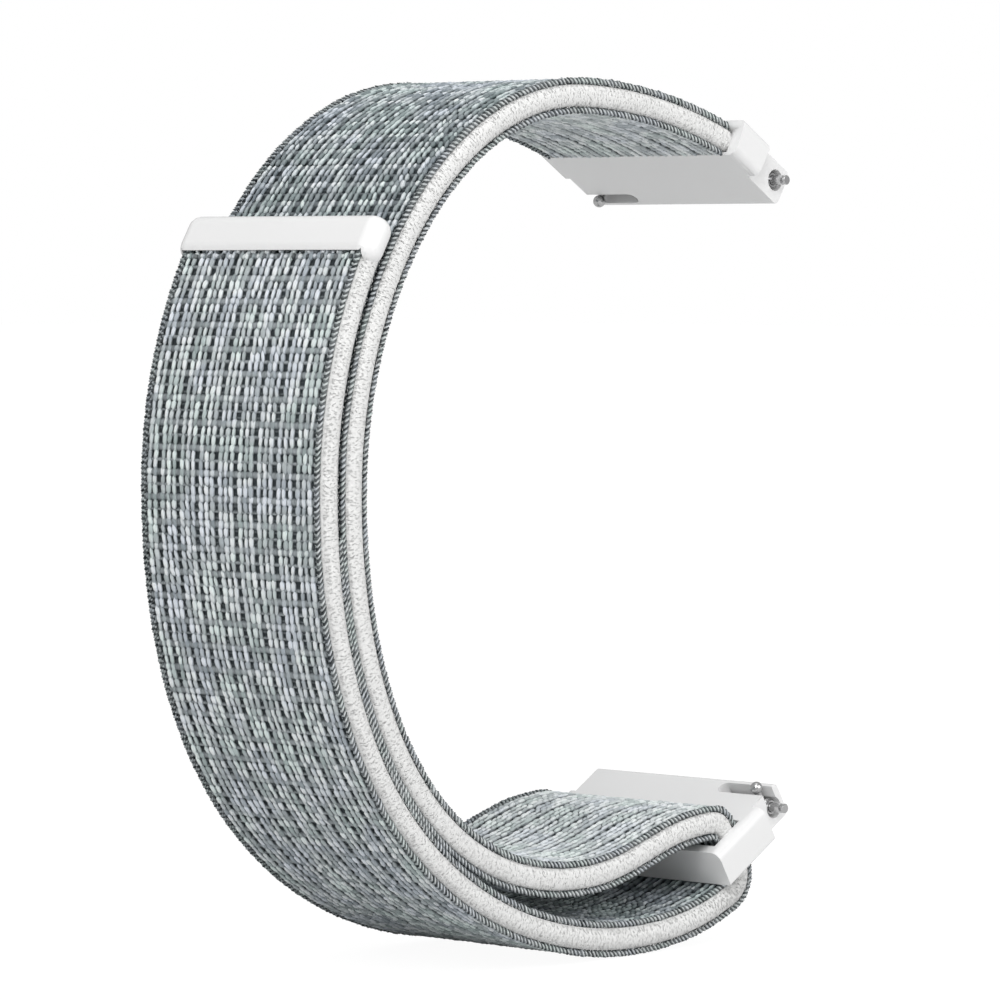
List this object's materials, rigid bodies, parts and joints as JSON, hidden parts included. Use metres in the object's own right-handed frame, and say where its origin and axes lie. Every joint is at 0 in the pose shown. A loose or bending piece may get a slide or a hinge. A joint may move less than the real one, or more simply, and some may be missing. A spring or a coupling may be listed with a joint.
{
  "type": "watch strap",
  "caption": "Woven nylon watch strap in a C shape with a folded hook-and-loop tail, a moulded end tab and a white connector with a quick-release spring bar at each end.",
  "frame": {"origin": "midway between the two spring-bar axes, where the watch case's middle lies", "axes": "+X towards the watch, +Y along the spring bars, +Z from the lower connector to the upper one"},
  "size_m": [0.0555, 0.0224, 0.0709],
  "materials": {
    "white_plastic": "polished white moulding",
    "weave": "grey-green woven nylon with pale and dark yarns",
    "core": "off-white knitted selvedge",
    "hooks": "dark moulded hook tape",
    "steel": "polished steel"
  },
  "bodies": {
    "strap": {"band_core": "core", "band_show_face": "weave", "band_loop_face": "weave", "upper_connector": "white_plastic", "upper_bar_tube": "steel", "upper_fixed_tip": "steel", "upper_coil_spring": "steel"},
    "tail": {"tail_core": "core", "tail_show_face": "weave", "tail_loop_face": "weave", "tail_hook_tape": "hooks", "end_tab": "white_plastic"},
    "lower_end": {"lower_connector": "white_plastic", "lower_bar_tube": "steel", "lower_fixed_tip": "steel", "lower_coil_spring": "steel"},
    "upper_release": {"upper_sprung_tip": "steel", "upper_lever": "steel"},
    "lower_release": {"lower_sprung_tip": "steel", "lower_lever": "steel"}
  },
  "joints": [
    {"name": "tail_peel", "type": "hinge", "parent": "strap", "child": "tail", "pos_m": [-0.05224, 0, -0.01115], "axis": [0, -1, 0], "range_deg": [0, 75]},
    {"name": "lower_connector_swing", "type": "hinge", "parent": "strap", "child": "lower_end", "pos_m": [-0.00701, 0, -0.03036], "axis": [0, 1, 0], "range_deg": [-9, 9]},
    {"name": "upper_lever_slide", "type": "slide", "parent": "strap", "child": "upper_release", "axis": [0, -1, 0], "range_m": [0, 0.00135], "stiffness_N_per_m": 400, "springref_m": -0.0015, "deforming": ["upper_coil_spring"]},
    {"name": "lower_lever_slide", "type": "slide", "parent": "lower_end", "child": "lower_release", "axis": [0, 1, 0], "range_m": [0, 0.00135], "stiffness_N_per_m": 400, "springref_m": -0.0015, "deforming": ["lower_coil_spring"]}
  ]
}
